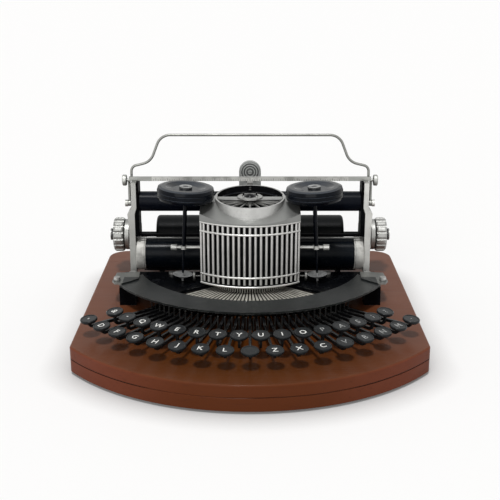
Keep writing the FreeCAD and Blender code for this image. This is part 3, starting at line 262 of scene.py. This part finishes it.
# Where the top of the board gets painted shade under the carriage
UNDER_CARRIAGE_Y = (36.0 * MM, 112.0 * MM)
UNDER_CARRIAGE_X = (128.0 * MM, 108.0 * MM)
UNDER_CARRIAGE_SOFT = 14.0 * MM
SEAM_Z = 15.7 * MM
SEAM_WAVE = 1.4 * MM
SEAM_HALF = (0.85 * MM, 0.25 * MM)
SEAM_ENDS_X = (70.0 * MM, 105.0 * MM)
CHIP_WIDTH = 1.6 * MM
CHIP_Z = (23.5 * MM, 25.0 * MM)
CHIP_X = (-50.0 * MM, -72.0 * MM)


def wood_seam(shader):
    """The wavy dark line between the boards: open at the sides, broken up in the middle."""
    wave = shader.times(shader.minus(shader.noise(9.0, 2.0), 0.5), SEAM_WAVE)
    off_line = shader.magnitude(shader.minus(shader.minus(shader.z, SEAM_Z), wave))
    ends = shader.fade(shader.magnitude(shader.x), *SEAM_ENDS_X)
    gaps = shader.fade(shader.noise(16.0, 2.0), 0.47, 0.60)
    strength = shader.math("MAXIMUM", ends, shader.times(gaps, 0.6))
    return shader.times(shader.fade(off_line, *SEAM_HALF), strength)


def wood():
    shader = Shader("stained_wood")
    grain = shader.noise(14.0, 6.0, 0.62, (0.35, 4.0, 4.0), 0.4)
    pores = shader.fade(shader.noise(160.0, 3.0, 0.6, (0.10, 2.2, 2.2)), 0.56, 0.70)
    cloud = shader.fade(shader.noise(7.0, 3.0, 0.5), 0.45, 0.75)
    seam = wood_seam(shader)
    on_top = shader.fade(shader.z, *BOARD_EDGE_Z)
    # Top: warmer and darker toward the middle, partly the stain and partly painted shade and reflection of
    # the machine
    top = shader.colour(
        shader.fade(shader.level_reach(0.0, WARM_SHADED_CENTRE_Y), *WARM_SHADED_REACH),
        shader.colour(grain, (0.062, 0.0165, 0.0020), (0.088, 0.0255, 0.0034)),
        shader.colour(grain, (0.112, 0.038, 0.019), (0.150, 0.056, 0.031)),
    )
    side = shader.colour(
        shader.fade(shader.magnitude(shader.x), *FLANK_X),
        shader.colour(grain, (0.080, 0.021, 0.006), (0.108, 0.029, 0.010)),
        shader.colour(grain, (0.125, 0.033, 0.016), (0.165, 0.047, 0.026)),
    )
    # Painted shade on the top of the board under the carriage
    under = shader.times(
        shader.between(shader.y, *UNDER_CARRIAGE_Y, UNDER_CARRIAGE_SOFT),
        shader.fade(shader.magnitude(shader.x), *UNDER_CARRIAGE_X),
    )
    chip = shader.times(shader.edges(CHIP_WIDTH), shader.fade(shader.noise(230.0, 3.0), 0.57, 0.63))
    chip = shader.times(chip, shader.fade(shader.z, *CHIP_Z))
    chip = shader.times(chip, shader.fade(shader.x, *CHIP_X))
    shader.set(
        base_color=shader.colour(on_top, side, top),
        roughness=shader.number(shader.noise(45.0, 4.0), 0.26, 0.44),
        specular_ior_level=0.05,
        coat_weight=0.015,
        coat_roughness=0.10,
    )
    # Lays the painted black-brown shade under the carriage
    shader.cover(shader.times(under, on_top), (0.012, 0.006, 0.004), 0.88)
    shader.cover(pores, (0.070, 0.020, 0.010), 0.30)
    shader.cover(cloud, (0.105, 0.036, 0.020), 0.22)
    shader.cover(seam, (0.018, 0.007, 0.004), 0.85)
    shader.cover(chip, (0.36, 0.20, 0.12), 0.75)
    height = shader.minus(shader.times(grain, 0.4), shader.times(pores, 0.5))
    shader.bump(shader.minus(height, shader.times(seam, 3.0)), 0.2 * MM, 0.5)
    return shader


dress(wood(), "base_boards")
dress(black("foot_rubber", (0.020, 0.020, 0.021), 0.62, 0.3), "rubber_feet")

# Black castings and the front shield

dress(black("black_enamel", (0.0015, 0.0018, 0.0025), 0.22, 0.05, 0.5), "main_frame", "turret_housing")
dress(black("liner_black", (0.0022, 0.0024, 0.0030), 0.5, 0.01), "carriage_liners")
dress(black("shield_satin", (0.0105, 0.0120, 0.0120), 0.34, 0.18, 0.65), "shield_crescent")
dress(black("rail_black", (0.006, 0.006, 0.007), 0.30, 0.15, 0.6), "carriage_rail", "mainspring_drum")
dress(black("comb_steel", (0.010, 0.010, 0.010), 0.34, 0.2, 0.6), "key_comb")

# Bright pieces

TIE_ROD_Y = (65.9 * MM, 68.1 * MM)
TIE_ROD_END_X = (124.6 * MM, 124.4 * MM)
EAR_STRIP_Y = (24.3 * MM, 23.7 * MM)
EAR_ENAMEL_X = (133.6 * MM, 132.8 * MM)
PLAQUE_Z = 136.9 * MM
PLAQUE_FRONT_Y = (145.3 * MM, 145.4 * MM)
PLAQUE_BACK_Y = (146.6 * MM, 146.4 * MM)
PLAQUE_RINGS = (2.6 * MM, 11.5 * MM)


def carriage_metal():
    """Bright plate, darker toward the left end, with a dull tie rod."""
    shader = silver("frame_silver", (0.70, 0.70, 0.67), 0.38, (1, 1, 0.15), 0.5)
    rod = shader.between(shader.y, *TIE_ROD_Y, 0.05 * MM)
    rod = shader.times(rod, shader.fade(shader.magnitude(shader.x), *TIE_ROD_END_X))
    shader.cover(shader.fade(shader.x, 0.0, LEFT_END_X), (0.22, 0.225, 0.21), 0.5)
    shader.cover(rod, (0.13, 0.13, 0.125))
    return shader


def ears():
    """Nickel strip at the back and a bright lobe under the screw; the rest is enamelled like the shield."""
    shader = silver("nickel_plate", (0.27, 0.275, 0.262), 0.30, (1, 0.1, 1), 0.8)
    inboard = shader.fade(shader.magnitude(shader.x), *EAR_ENAMEL_X)
    enamel = shader.times(inboard, shader.fade(shader.y, *EAR_STRIP_Y))
    shader.cover(enamel, (0.012, 0.0135, 0.0138))
    shader.set(metallic=shader.number(enamel, NICKEL_METALLIC, 0.0), specular_ior_level=0.2)
    return shader


def plaque():
    """Nickel standard whose ringed head is duller between its rings, with a bright middle screw."""
    shader = silver("plaque_silver", (0.60, 0.615, 0.60), 0.36, (1, 1, 1), 0.3, 900.0, 2.2 * MM)
    rings = shader.between(shader.reach(shader.x, 0.0, shader.z, PLAQUE_Z), *PLAQUE_RINGS, 0.2 * MM)
    face = shader.times(shader.fade(shader.y, *PLAQUE_FRONT_Y), shader.fade(shader.y, *PLAQUE_BACK_Y))
    shader.cover(shader.times(face, rings), (0.075, 0.078, 0.078), 0.75)
    return shader


# The cage's bars take the painted shade on more of their sides (dim=0.35)
dress(silver("cage_silver", (0.71, 0.705, 0.685), 0.30, (1, 1, 0.06), 0.45, dim=0.35), "turret_cage")
dress(carriage_metal(), "carriage_frame", "spool_arms")
dress(ears(), "ear_plates")
dress(silver("bright_steel", (0.60, 0.595, 0.575), 0.30, (0.1, 1, 1), 0.6), "frame_screws")
dress(silver("shaft_steel", (0.16, 0.158, 0.15), 0.42, (0.1, 1, 1), 0.8), "ribbon_drive_shaft")
dress(silver("wire_steel", (0.27, 0.272, 0.255), 0.32, (0.1, 1, 1), 0.6), "paper_rest_wire")
dress(plaque(), "bell")
dress(silver("hammer_steel", (0.34, 0.335, 0.32), 0.32, (1, 1, 0.1), 0.6), "hammer")

# Turret

DOME_BACK = 2.6 * MM
DOME_RADIUS = (8.9 * MM, 8.5 * MM)
DOME_Z = (134.8 * MM, 135.2 * MM)
NECK_INSIDE = (13.2 * MM, 34.7 * MM)
BRIDGE_HALF = (4.0 * MM, 4.3 * MM)
SHOULDER_RADIUS = (36.6 * MM, 37.2 * MM)
SPOKE_RADIUS = (30.6 * MM, 30.3 * MM)
SPOKE_FRONT_Y = (33.0 * MM, 31.0 * MM)


def hood():
    """Brushed bright neck, bridge and disc on a shoulder darkened as a painted reflection; the dome is
    black, and the inside of the neck is painted black as shade.
    """
    shader = silver("hood_silver", (0.62, 0.62, 0.605), 0.34, (0.12, 1, 1), 0.55, 1400.0, 2.0 * MM)
    centre = shader.level_reach(0.0, TURRET_Y)
    dome = shader.fade(shader.level_reach(0.0, TURRET_Y + DOME_BACK), *DOME_RADIUS)
    dome = shader.times(dome, shader.fade(shader.z, *DOME_Z))
    off_bridge = shader.fade(shader.magnitude(shader.minus(shader.y, TURRET_Y)), *BRIDGE_HALF)
    # Painted shade: the inside of the neck is made black
    inside = shader.times(shader.between(centre, *NECK_INSIDE, 0.15 * MM), off_bridge)
    dark = shader.math("MAXIMUM", dome, inside)
    # Painted dark reflection on the shoulder
    shader.cover(shader.fade(centre, *SHOULDER_RADIUS), (0.228, 0.232, 0.225), 0.9)
    shader.cover(dark, (0.006, 0.006, 0.007))
    shader.set(
        metallic=shader.number(dark, 0.85, 0.0),
        roughness=shader.number(dark, shader.source("Roughness"), 0.22),
        specular_ior_level=0.12,
    )
    return shader


def type_wheel():
    """Wheel painted black as shade inside the opening, bright only within its rim in the front half."""
    shader = silver("wheel_metal", (0.66, 0.655, 0.63), 0.34, (1, 1, 1), 0.5)
    spoke = shader.fade(shader.level_reach(0.0, TURRET_Y), *SPOKE_RADIUS)
    spoke = shader.times(shader.fade(shader.y, *SPOKE_FRONT_Y), spoke)
    # Painted shade: all of the wheel but its front spokes is black
    shader.set(
        base_color=shader.colour(spoke, (0.004, 0.004, 0.0045), shader.source("Base Color")),
        metallic=shader.number(spoke, 0.0, 0.85),
        specular_ior_level=0.1,
    )
    return shader


dress(hood(), "turret_hood")
dress(type_wheel(), "type_wheel")

# Carriage: scale bar, rollers and knobs

SCALE_STRIP_X = (-106.0 * MM, 106.0 * MM)
SCALE_STRIP_Y = (72.7 * MM, 72.55 * MM)
RUBBER_HALF = 113.9 * MM
ROLLER_GROOVE = (1.3 * MM, 1.9 * MM)
KNOB_NECK_X = (154.6 * MM, 157.8 * MM)


def scale_bar():
    """Pale graduated strip along the bar; its marks are a piece of their own."""
    shader = silver("scale_silver", (0.42, 0.425, 0.405), 0.36, (0.05, 1, 1), 0.5)
    strip = shader.between(shader.x, *SCALE_STRIP_X, 0.3 * MM)
    strip = shader.times(strip, shader.fade(shader.y, *SCALE_STRIP_Y))
    rubbed = shader.fade(shader.noise(55.0, 4.0), 0.48, 0.68)
    shader.cover(strip, shader.colour(rubbed, (0.60, 0.60, 0.57), (0.34, 0.34, 0.32)))
    shader.set(
        metallic=shader.number(strip, 1.0, 0.35),
        roughness=shader.number(strip, shader.source("Roughness"), 0.45),
    )
    return shader


def roller(name, tone, rough):
    """Black roller with worn rings."""
    shader = black(name, tone, rough, 0.07)
    ring = shader.noise(900.0, 2.0, 0.5, (1, 0.02, 0.02))
    shader.cover(shader.fade(ring, 0.55, 0.8), (0.008, 0.010, 0.014), 0.4)
    return shader


def capped_roller(name, tone, rough):
    """Roller with a pale metal cap beyond each end of its rubber."""
    shader = roller(name, tone, rough)
    out = shader.minus(shader.magnitude(shader.x), RUBBER_HALF)
    bare = shader.fade(out, 0.0, 0.2 * MM)
    plated(shader, bare, (0.50, 0.495, 0.47), 0.62)
    shader.cover(shader.between(out, *ROLLER_GROOVE, 0.1 * MM), (0.06, 0.058, 0.055), 0.7)
    shader.set(metallic=shader.times(bare, 0.35))
    return shader


def knobs():
    shader = silver("knob_silver", (0.42, 0.42, 0.405), 0.34, (1, 1, 1), 0.7)
    shader.cover(shader.fade(shader.x, 0.0, LEFT_END_X), (0.16, 0.165, 0.155), 0.4)
    neck = shader.between(shader.magnitude(shader.x), *KNOB_NECK_X, 0.1 * MM)
    shader.cover(neck, (0.015, 0.015, 0.016))
    return shader


dress(scale_bar(), "scale_bar")
dress(capped_roller("roller_rubber", (0.0018, 0.0030, 0.0050), 0.22), "front_roller")
dress(roller("cylinder_black", (0.0024, 0.0030, 0.0034), 0.40), "feed_cylinder")
dress(roller("upper_rubber", (0.0018, 0.0028, 0.0062), 0.30), "upper_roller")
dress(knobs(), "cylinder_knobs")

# Ribbon spools

# SPOOL_LIT: the direction the painted sheen on the spools faces
SPOOL_LIT = (-0.1, -0.55, 0.85)
SPOOL_KNOB_RING = (3.2 * MM, 6.9 * MM)
SPOOL_KNOB_Z = (148.4 * MM, 148.8 * MM)
SPOOL_DISH_Z = (56.5 * MM, 55.5 * MM)


def spool(name, side):
    """Black japanned spool with a painted sheen on faces toward SPOOL_LIT, a bright slotted knob on top and
    a bright dish below.
    """
    shader = black(name, (0.0018, 0.0028, 0.0052), 0.12, 0.10, flecks=0.0, peel=0.04)
    # Painted sheen on faces turned toward SPOOL_LIT
    shader.cover(shader.facing(SPOOL_LIT, 0.80, 0.99), (0.042, 0.049, 0.060))
    hub = shader.level_reach(side * SPOOL_HUB_X, SPOOL_Y)
    knob = shader.between(hub, *SPOOL_KNOB_RING, 0.2 * MM)
    knob = shader.times(knob, shader.fade(shader.z, *SPOOL_KNOB_Z))
    dish = shader.fade(shader.z, *SPOOL_DISH_Z)
    plated(shader, shader.math("MAXIMUM", knob, dish), (0.33, 0.335, 0.335), 0.28)
    shader.set(metallic=shader.math("MAXIMUM", knob, shader.times(dish, 0.3)))
    return shader


dress(spool("spool_black_left", -1), "ribbon_spool_left")
dress(spool("spool_black_right", 1), "ribbon_spool_right")

# Keys, with their letters in plain sans type

SLAT_END = (95.0 * MM, 94.0 * MM)
CAP_START = (165.0 * MM, 166.0 * MM)
CRACK_HALF = (0.88 * MM, 0.50 * MM)
LETTERS = {
    1: ",", 3: "D", 5: "F", 7: "G", 9: "H", 11: "J", 13: "K", 15: "L",
    19: "Z", 21: "X", 23: "C", 25: "V", 27: "B", 29: "N", 31: "M", 33: ".",
    2: "&", 4: "-", 6: "Q", 8: "W", 10: "E", 12: "R", 14: "T", 16: "Y",
    18: "U", 20: "I", 22: "O", 24: "P", 26: "A", 28: "S", 30: ";", 32: "?",
}
LETTER_SIZE = 8.6 * MM
LETTER_BOLD = 0.10 * MM
LETTER_LIFT = 0.03 * MM
FADED = range(24, KEY_COUNT + 1)


def keys():
    """Bright inner slats with dark cracks between, black levers, and caps of dark glassy paper."""
    shader = black("key_black", (0.0035, 0.0036, 0.004), 0.24, 0.16, 0.35)
    centre = shader.level_reach(0.0, FAN_Y)
    slat = shader.fade(centre, *SLAT_END)
    face = shader.colour(shader.noise(260.0, 4.0, 0.6), (0.0065, 0.008, 0.0092), (0.016, 0.0185, 0.020))
    shader.cover(shader.fade(centre, *CAP_START), face, 0.85)
    plated(shader, slat, (0.50, 0.485, 0.43), 0.42)
    turned = shader.math("ARCTAN2", shader.x, shader.minus(FAN_Y, shader.y))
    pitches = shader.math("DIVIDE", turned, KEY_PITCH)
    off_key = shader.magnitude(shader.minus(pitches, shader.math("ROUND", pitches)))
    to_crack = shader.times(shader.minus(0.5, off_key), shader.times(centre, KEY_PITCH))
    shader.cover(shader.times(shader.fade(to_crack, *CRACK_HALF), slat), (0.012, 0.011, 0.010))
    shader.set(metallic=shader.times(slat, 0.35))
    return shader


def paint(name, tone, low, high):
    """Letter paint, worn through where its noise is above the two levels."""
    shader = Shader(name)
    worn = shader.fade(shader.noise(900.0, 3.0), low, high)
    shader.set(base_color=shader.colour(worn, tone, (0.10, 0.105, 0.105)), roughness=0.5)
    return shader


def cap_matrix(number):
    """From the origin to the bottom of a cap's dish."""
    radius, top = FRONT_ROW if number % 2 else REAR_ROW
    angle = (number - (KEY_COUNT + 1) / 2) * KEY_PITCH
    to_fan = Matrix.Translation((0, FAN_Y, 0)) @ Matrix.Rotation(angle, 4, "Z")
    to_cap = Matrix.Translation((0, -radius, top)) @ Matrix.Rotation(CAP_TILT, 4, "X")
    return to_fan @ to_cap @ Matrix.Translation((0, 0, -CAP_DISH))


def written(text, size, bold):
    """A flat mesh of one short plain text, centred on the origin."""
    curve = bpy.data.curves.new("type", "FONT")
    curve.body = text
    curve.size = size
    curve.offset = bold
    curve.resolution_u = 3
    holder = bpy.data.objects.new("type", curve)
    mesh = bpy.data.meshes.new_from_object(holder)
    bpy.data.objects.remove(holder)
    xs = [vertex.co.x for vertex in mesh.vertices]
    ys = [vertex.co.y for vertex in mesh.vertices]
    mesh.transform(Matrix.Translation((-(min(xs) + max(xs)) / 2, -(min(ys) + max(ys)) / 2, 0)))
    return mesh


def piece(name, mesh, material, body):
    mesh.materials.clear()
    mesh.materials.append(material)
    made = bpy.data.objects.new(name, mesh)
    bpy.context.scene.collection.objects.link(made)
    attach(made, body)
    return made


dress(keys(), *("key_{:02d}".format(number) for number in range(1, KEY_COUNT + 1)))
clear_paint = paint("letter_paint", (0.74, 0.74, 0.71), 0.56, 0.74)
faded_paint = paint("faded_letter_paint", (0.36, 0.365, 0.36), 0.42, 0.62)
for number, text in LETTERS.items():
    mesh = written(text, LETTER_SIZE, LETTER_BOLD)
    mesh.transform(cap_matrix(number) @ Matrix.Translation((0, 0, LETTER_LIFT)))
    used = faded_paint if number in FADED else clear_paint
    letter = piece("key_letter_{:02d}".format(number), mesh, used.material, "key_{:02d}".format(number))

# Graduations on the scale bar: every fifth is longer

MARK_Y = 72.47 * MM
MARK_LOW_Z = 144.3 * MM
MARK_STEP = 2.54 * MM
MARK_COUNT = 83
MARK_HALF = 0.20 * MM
MARK_SHORT = 1.5 * MM
MARK_LONG = 2.6 * MM


def scale_marks():
    corners = []
    faces = []
    for number in range(MARK_COUNT):
        x = (number - (MARK_COUNT - 1) / 2) * MARK_STEP
        high = MARK_LOW_Z + (MARK_LONG if number % 5 == 1 else MARK_SHORT)
        start = len(corners)
        corners += [(x - MARK_HALF, MARK_Y, MARK_LOW_Z), (x + MARK_HALF, MARK_Y, MARK_LOW_Z)]
        corners += [(x + MARK_HALF, MARK_Y, high), (x - MARK_HALF, MARK_Y, high)]
        faces.append((start, start + 1, start + 2, start + 3))
    mesh = bpy.data.meshes.new("scale_marks")
    mesh.from_pydata(corners, [], faces)
    return mesh


ink = Shader("scale_ink")
ink.set(base_color=ink.colour(ink.noise(700.0), (0.03, 0.03, 0.03), (0.16, 0.155, 0.15)), roughness=0.55)
piece("scale_marks", scale_marks(), ink.material, "carriage")

# Studio: a pale floor with a painted contact shadow, a white background, a lamp above and a softer one in
# front

SOFT_LIGHT = ((1.0, 0.99, 0.975, 1.0), 0.42)
BACKGROUND = ((0.985, 0.985, 0.972, 1.0), 1.0)
FLOOR_HALF = 30.0
CONTACT_REACH = 35.0 * MM
CONTACT_LEVEL = 0.45
FLOOR_TONE = 0.82
FLOOR_LIFT = 0.10
KEY_FROM = (-0.06, -0.34, 1.0)
FILL_FROM = (-0.35, -1.0, 0.35)
CAMERA_PLACE = (0.0, -0.9253, 0.390)
CAMERA_TILT = math.radians(72.0)

scene = bpy.context.scene
scene.view_settings.view_transform = "Standard"


def seen(graph):
    """1 for rays from the camera, and for those seen in metal or glass."""
    rays = add(graph, "ShaderNodeLightPath").outputs
    total = rays["Is Camera Ray"]
    for name in ("Is Glossy Ray", "Is Transmission Ray"):
        total = add(graph, "ShaderNodeMath", {0: total, 1: rays[name]}, operation="MAXIMUM").outputs[0]
    return total


def light_world():
    """White where it is seen, and a softer light on everything else."""
    world = bpy.data.worlds.new("studio")
    scene.world = world
    world.use_nodes = True
    graph = world.node_tree
    graph.nodes.clear()
    soft, plain = (
        add(graph, "ShaderNodeBackground", {"Color": tone, "Strength": strength}).outputs[0]
        for tone, strength in (SOFT_LIGHT, BACKGROUND)
    )
    choose = add(graph, "ShaderNodeMixShader", {0: seen(graph), 1: soft, 2: plain})
    add(graph, "ShaderNodeOutputWorld", {0: choose.outputs[0]})


def floor_material():
    made = bpy.data.materials.new("pale_floor")
    made.use_nodes = True
    graph = made.node_tree
    graph.nodes.clear()
    # Painted contact shadow: the floor's colour darkens where the object is near
    near = add(graph, "ShaderNodeAmbientOcclusion", {"Distance": CONTACT_REACH})
    contact_shadow = add(graph, "ShaderNodeMapRange", {
        "Value": near.outputs["AO"],
        "From Min": CONTACT_LEVEL,
        "To Min": CONTACT_LEVEL,
        "To Max": FLOOR_TONE,
    })
    matt = add(graph, "ShaderNodeBsdfDiffuse", {"Color": contact_shadow.outputs[0]})
    strength = add(graph, "ShaderNodeMath", {0: seen(graph), 1: FLOOR_LIFT}, operation="MULTIPLY")
    lift = add(graph, "ShaderNodeEmission", {
        "Color": (1.0, 1.0, 0.99, 1.0),
        "Strength": strength.outputs[0],
    })
    both = add(graph, "ShaderNodeAddShader", {0: matt.outputs[0], 1: lift.outputs[0]})
    add(graph, "ShaderNodeOutputMaterial", {0: both.outputs[0]})
    return made


def lamp(name, place, energy, spread):
    """A sun that shines from `place` toward the origin, with an angle of `spread` degrees."""
    data = bpy.data.lights.new(name, "SUN")
    data.energy = energy
    data.angle = math.radians(spread)
    made = bpy.data.objects.new(name, data)
    made.location = place
    made.rotation_euler = (-Vector(place)).to_track_quat("-Z", "Y").to_euler()
    scene.collection.objects.link(made)


light_world()
floor_corners = [(x * FLOOR_HALF, y * FLOOR_HALF, 0) for x, y in ((-1, -1), (1, -1), (1, 1), (-1, 1))]
floor_mesh = bpy.data.meshes.new("floor")
floor_mesh.from_pydata(floor_corners, [], [(0, 1, 2, 3)])
floor_mesh.materials.append(floor_material())
floor = bpy.data.objects.new("floor", floor_mesh)
scene.collection.objects.link(floor)

lamp("key_light", KEY_FROM, 1.95, 8.0)
lamp("front_fill", FILL_FROM, 0.75, 40.0)

camera_data = bpy.data.cameras.new("photo_camera")
camera_data.lens = 68.4
camera_data.sensor_width = 36.0
camera_data.clip_start = 0.05
camera_data.clip_end = 60.0
camera = bpy.data.objects.new("photo_camera", camera_data)
camera.location = CAMERA_PLACE
camera.rotation_euler = (CAMERA_TILT, 0.0, 0.0)
scene.collection.objects.link(camera)
scene.camera = camera
